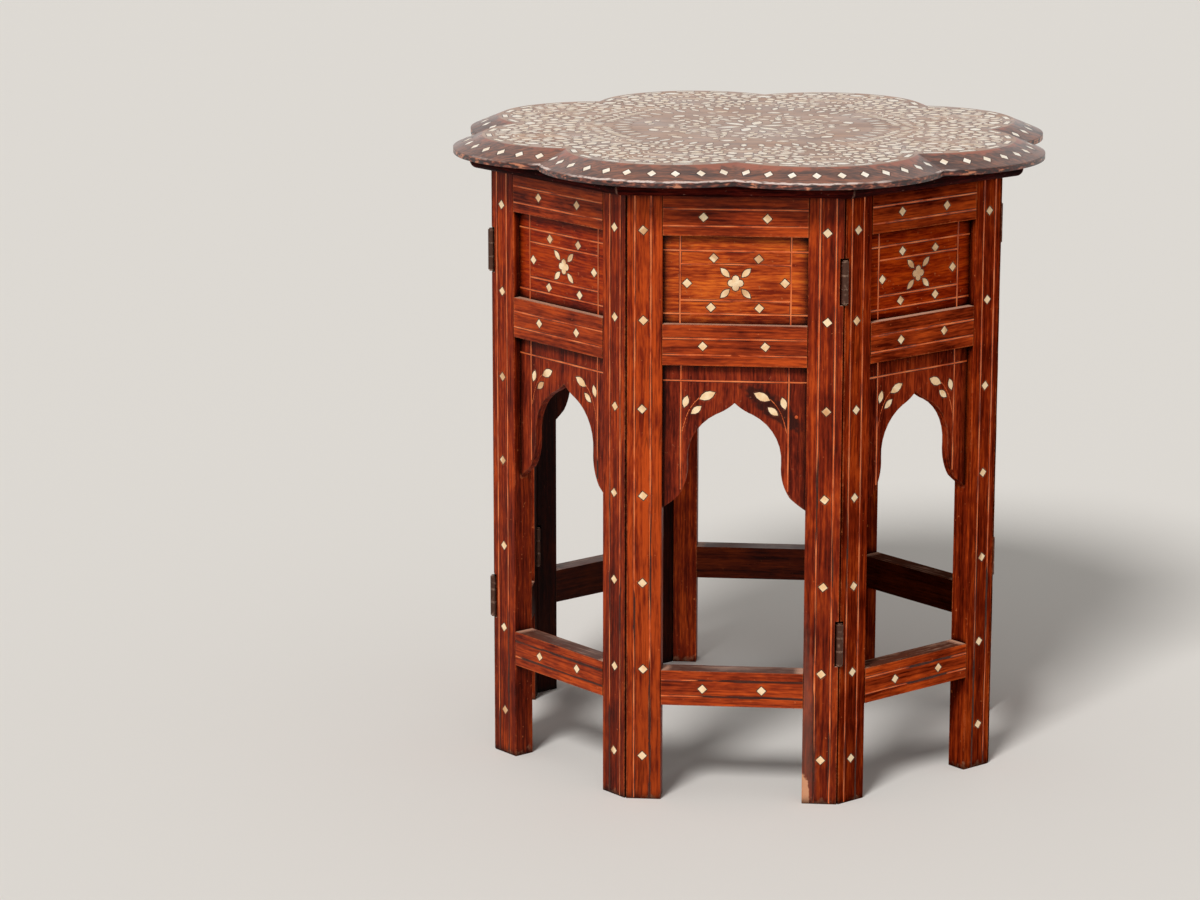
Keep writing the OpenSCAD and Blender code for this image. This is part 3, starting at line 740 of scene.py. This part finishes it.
def makeStringing(look):
    face, boardFace = stand["face"], stand["boardFace"]
    strips = []
    for side in (-1, 1):
        for u in look["stileU"]:
            strips.append(layStrip(look, *[(side * u, z) for z in look["stileEnds"]], face))
        for board in ("field", "arch"):
            u = side * look[board + "UprightU"]
            strips.append(layStrip(look, *[(u, z) for z in look[board + "Ends"]], boardFace))
        strips.append(layStem(look, side))
    half, short = look["railHalf"], look["fieldUprightU"]
    for z in look["railZ"]:
        strips.append(layStrip(look, (-half, z), (half, z), face))
    for z in (*look["fieldLongZ"], look["archZ"]):
        strips.append(layStrip(look, (-half, z), (half, z), boardFace))
    for z in look["fieldShortZ"]:
        strips.append(layStrip(look, (-short, z), (short, z), boardFace))
    return joinAll(strips)


for look, name, material in ((stringing, "stringing", "strip"), (stripShadow, "stripShadow", "lac")):
    straight = makeStringing(look)
    for k in range(stand["frames"]):
        piece = meshCopy(straight, Matrix.Rotation(k * eighth, 4, "Z"))
        activate(piece)
        edit("VERT")
        selectAll()
        bpy.ops.transform.vertex_random(offset=mm(look["wander"]), uniform=0.5, seed=look["seed"] + k)
        doneEditing()
        finishPiece(piece, f"{name}_{k}", finish[material], f"frame_{k}")
    bpy.data.objects.remove(straight)
print("stringing laid")


# Brass pin that holds the repair of the front arch board, beside its right sprig

brassPin = {
    "radius": 1.3,
    "length": 2,
    "proud": 0.5,
    "round": 0.45,
    "place": (44.2, 286.7),  # u and z
}


def makePin(look):
    u, z = look["place"]
    depth = mm(look["length"] / 2 - look["proud"]) - stand["boardFace"]
    activate()
    bpy.ops.mesh.primitive_cylinder_add(
        vertices=24, radius=mm(look["radius"]), depth=mm(look["length"]), location=(mm(u), depth, mm(z)),
        rotation=(math.pi / 2, 0, 0))
    pin = bpy.context.object
    bpy.ops.object.transform_apply()
    front = -stand["boardFace"] - mm(look["proud"])
    edit("EDGE")
    selectParts("edges", lambda edge: all(abs(vert.co.y - front) < mm(0.01) for vert in edge.verts))
    bpy.ops.mesh.bevel(offset=mm(look["round"]), segments=3, affect="EDGES")
    doneEditing()
    finishPiece(pin, "archPin", finish["strip"], "frame_0")
    bpy.ops.object.shade_smooth_by_angle(angle=math.radians(40))


makePin(brassPin)
print("pin set")


# Lac round the bone that the CAD has: the walls of each bone, made thick outwards

lacRings = {
    "width": 0.55,
    "proud": 0.03,
}


def makeLac(node, outward, name, body):
    ring = meshCopy(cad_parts[node])
    ring.parent = None
    # the marks of a node of the CAD don't go with its copy
    for key in list(ring.keys()):
        del ring[key]
    activate(ring)
    edit("FACE")
    selectAll()
    bpy.ops.mesh.remove_doubles(threshold=mm(0.001))
    selectParts("faces", lambda face: abs(face.normal.dot(outward)) > 0.7)
    bpy.ops.mesh.delete(type="FACE")
    doneEditing()
    wall = ring.modifiers.new("lacWidth", "SOLIDIFY")
    wall.thickness = mm(lacRings["width"])
    wall.offset = 1
    wall.use_even_offset = True
    bpy.ops.object.modifier_apply(modifier=wall.name)
    ring.data.transform(Matrix.Translation(outward * mm(lacRings["proud"])))
    finishPiece(ring, name, finish["lac"], body)


for k in range(stand["frames"]):
    outward = Matrix.Rotation(k * eighth, 3, "Z") @ Vector((0, -1, 0))
    makeLac(f"bone_inlay_{k}", outward, f"lac_{k}", f"frame_{k}")
makeLac("top_bone_inlay", Vector((0, 0, 1)), "lac_top", "top")
print("lac run in")


# Dense inlay of the top: small leaves of bone, packed between the larger pieces that the CAD has. It is set
# out on one lobe, in mm with x along the lobe's axis, and every lobe is then cut a little differently

topInlay = {
    "proud": 0.1,
    "deep": 0.5,
    "lacMargin": 0.45,
    "lacProud": 0.04,
    "gap": 0.75,  # least wood between two leaves
    "inner": 104.6,  # the field starts outside the ring of teeth
    "outer": 69,  # from the lobe's middle, inside the border bars
    "roundels": (150, 174),  # on a lobe's axis: three leaves with arcs beyond them
    "notchRoundel": 118,  # on the line to a notch
    "roundelBack": 2,  # from a roundel's place back to the middle of its arcs
    "arcs": (9.6, 12.9),
    "arcHalf": 76,  # degrees
    "arcSteps": 18,
    "arcWidth": 0.9,
    "arcClear": 0.4,
    "slim": 0.64,  # a leaf's width against its length
    "shoulder": 0.74,  # how wide it still is on the way to its points
    # rows about a lobe's middle, up to rowsEnd degrees: radius, step in degrees, leaf length, slant
    "rows": ((63, 4.6, 9, 70), (53, 9.4, 11, 90), (42, 16, 10.5, 40), (32, 16, 11, 90),
             (22, 32, 10.5, 45), (12, 60, 9, 90)),
    "rowsEnd": 75,
    # rows about the axis: radius, step, slant
    "innerRows": ((109.4, 3.75, 60), (118, 4.5, 125), (127, 5.6, 50)),
    "innerLeaf": (9, 4.6),
    # leaves tried at random places, largest first
    "fill": ((11, 7.2), (9.6, 6.4), (8.4, 5.6), (7.2, 4.8), (6, 4), (5, 3.2), (4, 2.6)),
    "fillSlants": (0, 90, 90, 45, 135),
    "fillHalf": 70,  # mm to each side of a lobe's axis
    "triesEach": 3000,
    "hand": 0.22,  # mm that a leaf lies off its place
    "handTurn": 5,  # degrees
    "handLength": (0.95, 1.03),
    "handWidth": (0.92, 1.03),
    "seed": 11,
}
lobeMiddle = tableTop["lobeMiddle"]
halfLobe = 180 / tableTop["lobes"]
# what the CAD has on a lobe: from where the radius counts, radius, angles, length and width
cadBone = (
    (lobeMiddle, 72, (-53.75, -32.25, -10.75, 10.75, 32.25, 53.75), 14, 5),  # border bars
    (lobeMiddle, 63, (-34.5, 0, 34.5), 14, 8.5),  # large leaves along the scallop
    (0, 167, (-halfLobe, halfLobe), 14, 8.5),  # leaves at the notches
)
# rings of leaves in the medallion: radius, count, first angle, slant, length and width
medallionRings = (
    (33, 6, 34, 60, 7, 3.8), (33, 6, 66, -60, 7, 3.8), (38, 6, 20, 0, 10.5, 5.6),
    (41.5, 6, 36, 55, 9, 4.8), (41.5, 6, 64, -55, 9, 4.8), (43, 6, 50, 0, 9.5, 5.4),
    (47.5, 6, 8, 90, 9.5, 5.2), (47.5, 6, 32, 90, 9.5, 5.2), (52.5, 18, 0, 45, 8, 4.4),
    (52, 18, 10, -45, 7, 3.6), (60, 12, 5, 0, 9, 5.4), (60.5, 24, 12.5, 90, 6.4, 3.4),
    (70, 6, 11, 90, 8.5, 4.4), (70, 6, 29, 90, 8.5, 4.4), (80, 6, 50, 0, 10.5, 6.6),
    (76, 6, 43, 40, 7.5, 4), (76, 6, 57, -40, 7.5, 4),
)


# A leaf is its place, how it lies in degrees, its length and its width
def polarLeaf(fromX, radius, degrees, slant, length, width):
    turn = math.radians(degrees)
    return (fromX + radius * math.cos(turn), radius * math.sin(turn), degrees + 90 + slant, length, width)


def discsOf(leaf):
    # discs in a row that cover a leaf, and 0.1 mm more
    x, y, turn, length, width = leaf
    along = Vector((math.cos(math.radians(turn)), math.sin(math.radians(turn))))
    return [
        (Vector((x, y)) + along * length * t, width / 2 * (1 - 4 * t * t) + 0.1)
        for t in (-0.46, -0.33, -0.17, 0, 0.17, 0.33, 0.46)
    ]


def fits(leaf, laid, look):
    discs = discsOf(leaf)
    for centre, size in discs:
        turn = math.degrees(math.atan2(abs(centre.y), centre.x))
        spare = centre.length * math.sin(math.radians(halfLobe - turn))
        if centre.length - size < look["inner"] or spare < size + look["gap"] / 2:
            return False
        if (centre - Vector((lobeMiddle, 0))).length + size > look["outer"]:
            return False
    for other, otherDiscs in laid:
        if math.hypot(leaf[0] - other[0], leaf[1] - other[1]) > (leaf[3] + other[3]) / 2 + look["gap"]:
            continue
        for centre, size in discs:
            for otherCentre, otherSize in otherDiscs:
                if (centre - otherCentre).length < size + otherSize + look["gap"]:
                    return False
    return True


def roundelLeaves(look, x):
    return [
        (x - look["roundelBack"] - abs(y) * 0.25, y, 0, 9.5 - abs(y) * 0.3, 4) for y in (-5.2, 0, 5.2)]


def setOutLobe(look):
    laid = []
    for fromX, radius, angles, length, width in cadBone:
        for angle in angles:
            leaf = polarLeaf(fromX, radius, angle, 0, length, width)
            laid.append((leaf, discsOf(leaf)))
    # room for the roundels: where each is, and the middle of its arcs
    arcReach = look["arcs"][1]
    kept = [((x, 0), (x - look["roundelBack"], 0)) for x in look["roundels"]]
    notch = Matrix.Rotation(math.radians(halfLobe), 2) @ Vector((look["notchRoundel"], 0))
    kept += [((notch.x, side * notch.y), (notch.x, side * notch.y)) for side in (-1, 1)]
    for place, centre in kept:
        laid.append(((*place, 0, 2 * arcReach + 2, 0), [(Vector(centre), arcReach + look["arcClear"])]))
    drawn = [leaf for x in look["roundels"] for leaf in roundelLeaves(look, x)]

    def lay(leaf):
        mirrored = (leaf[0], -leaf[1], -leaf[2], leaf[3], leaf[4])
        onAxis = abs(leaf[1]) < 0.01
        if fits(leaf, laid, look) and (onAxis or fits(mirrored, laid + [(leaf, discsOf(leaf))], look)):
            for one in (leaf,) if onAxis else (leaf, mirrored):
                laid.append((one, discsOf(one)))
                drawn.append(one)

    for radius, step, length, slant in look["rows"]:
        width = length * look["slim"]
        for number in range(int(look["rowsEnd"] / step)):
            lay(polarLeaf(lobeMiddle, radius, number * step, slant if number else 90, length, width))
    for radius, step, slant in look["innerRows"]:
        for number in range(int(halfLobe / step)):
            lay(polarLeaf(0, radius, (number + 0.5) * step, slant, *look["innerLeaf"]))
    chance = random.Random(look["seed"])
    for length, width in look["fill"]:
        for _ in range(look["triesEach"]):
            x = chance.uniform(look["inner"], lobeMiddle + look["outer"])
            y = chance.uniform(0, look["fillHalf"])
            toward = math.degrees(math.atan2(y, x - lobeMiddle))
            lay((x, y, toward + chance.choice(look["fillSlants"]), length, width))
    return drawn


def makeLeaf(look):
    # an octagon, 1 long and 1 wide, drawn out to points
    activate()
    bpy.ops.mesh.primitive_circle_add(vertices=8, radius=0.5, fill_type="NGON")
    leaf = bpy.context.object
    edit("VERT")
    selectParts("verts", lambda vert: abs(abs(vert.co.x) - abs(vert.co.y)) < 0.01)
    bpy.ops.transform.resize(value=(1, look["shoulder"], 1))
    bpy.ops.mesh.select_mode(type="FACE")
    selectAll()
    bpy.ops.mesh.extrude_region_move(TRANSFORM_OT_translate={"value": (0, 0, -1)})
    selectAll()
    bpy.ops.mesh.normals_make_consistent(inside=False)
    doneEditing()
    return leaf


def makeArcs(look):
    arcs = []
    for radius in look["arcs"]:
        half = math.radians(look["arcHalf"])
        activate()
        bpy.ops.mesh.primitive_plane_add(size=1, location=(mm(radius), 0, 0), rotation=(math.pi / 2, 0, 0))
        arc = bpy.context.object
        arc.scale = (mm(look["arcWidth"]), mm(look["deep"]), 1)
        bpy.ops.object.transform_apply()
        arc.data.transform(Matrix.Rotation(-half, 4, "Z"))
        edit("FACE")
        selectAll()
        bpy.ops.mesh.spin(
            steps=look["arcSteps"], angle=-2 * half, center=(0, 0, 0), axis=(0, 0, 1))
        selectAll()
        bpy.ops.mesh.remove_doubles(threshold=mm(0.001))
        bpy.ops.mesh.normals_make_consistent(inside=False)
        doneEditing()
        arcs.append(arc)
    return joinAll(arcs)


def cutLeaves(leaf, leaves, grow, proud, deep):
    # grow widens a leaf all round, and its points reach a little further
    built = bmesh.new()
    for x, y, turn, length, width in leaves:
        one = leaf.data.copy()
        one.transform(
            Matrix.Translation((mm(x), mm(y), tableTop["face"] + mm(proud)))
            @ Matrix.Rotation(math.radians(turn), 4, "Z")
            @ Matrix.Diagonal((mm(length + 2.4 * grow), mm(width + 2 * grow), mm(deep), 1))
        )
        built.from_mesh(one)
        bpy.data.meshes.remove(one)
    mesh = bpy.data.meshes.new("leaves")
    built.to_mesh(mesh)
    built.free()
    piece = bpy.data.objects.new("leaves", mesh)
    scene.collection.objects.link(piece)
    return piece


def handCut(leaves, turn, look, chance):
    cut = []
    wheel = Matrix.Rotation(turn, 2)
    for x, y, lie, length, width in leaves:
        place = wheel @ Vector((x, y))
        off = look["hand"]
        cut.append((
            place.x + chance.uniform(-off, off), place.y + chance.uniform(-off, off),
            lie + math.degrees(turn) + chance.uniform(-1, 1) * look["handTurn"],
            length * chance.uniform(*look["handLength"]), width * chance.uniform(*look["handWidth"]),
        ))
    return cut


def layBone(look, leaf, leaves, names, rings=()):
    piece = cutLeaves(leaf, leaves, 0, look["proud"], look["deep"])
    if rings:
        piece = joinAll([*rings, piece])
    finishPiece(piece, names[0], finish["topBone"], "top")
    bed = cutLeaves(leaf, leaves, look["lacMargin"], look["lacProud"], look["deep"])
    finishPiece(bed, names[1], finish["lac"], "top")


def makeTopInlay(look):
    leaf = makeLeaf(look)
    arcs = makeArcs(look)
    lobe = setOutLobe(look)
    chance = random.Random(look["seed"])
    arcHeight = tableTop["face"] + mm(look["proud"] - look["deep"] / 2)
    for k in range(tableTop["lobes"]):
        turn = (k + 0.5) * eighth - math.pi / 2
        notchTurn = turn - eighth / 2
        leaves = handCut(lobe, turn, look, chance)
        leaves += handCut(roundelLeaves(look, look["notchRoundel"]), notchTurn, look, chance)
        rings = []
        for x, way in [(x, turn) for x in look["roundels"]] + [(look["notchRoundel"], notchTurn)]:
            out = Matrix.Translation((mm(x - look["roundelBack"]), 0, arcHeight))
            rings.append(meshCopy(arcs, Matrix.Rotation(way, 4, "Z") @ out))
        layBone(look, leaf, leaves, (f"lobeBone_{k}", f"lobeLac_{k}"), rings)
    medallion = []
    for radius, count, start, slant, length, width in medallionRings:
        for number in range(count):
            medallion.append(polarLeaf(0, radius, start + number * 360 / count, slant, length, width))
    layBone(look, leaf, handCut(medallion, 0, look, chance), ("medallionBone", "medallionLac"))
    for spare in (leaf, arcs):
        bpy.data.objects.remove(spare)
    return len(lobe) * tableTop["lobes"] + len(medallion)


print("leaves of the top:", makeTopInlay(topInlay))


# Floor and light

studio = {
    "floor": "#e7e3dd",
    "floorSize": 40,
    "world": "#f6f5f3",
    "worldLight": 0.4,
    "worldSeen": 0.86,
    "sun": 2.4,
    "sunAngle": 16,
    "sunFrom": (-0.35, -1.0, 1.0),
}


def floorMaterial(tree, look):
    return {"Base Color": look["floor"], "Roughness": 0.9, "IOR": 1.4}


def makeStudio(look):
    activate()
    bpy.ops.mesh.primitive_plane_add(size=look["floorSize"])
    floor = bpy.context.object
    floor.name = "floor"
    floor.data.materials.append(makeMaterial("paleFloor", floorMaterial, look))
    world = bpy.data.worlds.new("softStudio")
    scene.world = world
    world.use_nodes = True
    tree = world.node_tree
    tree.nodes.clear()
    path = addNode(tree, "LightPath")
    seen = path.outputs["Is Camera Ray"]
    for other in ("Is Glossy Ray", "Is Transmission Ray"):
        seen = addNode(tree, "Math", {0: seen, 1: path.outputs[other]}, operation="MAXIMUM")
    strength = addNode(
        tree, "MapRange", {"Value": seen}, span=(0, 1, look["worldLight"], look["worldSeen"]))
    sky = addNode(tree, "Background", {"Color": look["world"], "Strength": strength})
    addNode(tree, "OutputWorld", {"Surface": sky.outputs[0]})
    toward = Vector(look["sunFrom"]).to_track_quat("Z", "Y").to_euler()
    bpy.ops.object.light_add(type="SUN", rotation=toward)
    sun = bpy.context.object
    sun.data.energy = look["sun"]
    sun.data.angle = math.radians(look["sunAngle"])


makeStudio(studio)
print("studio lit")
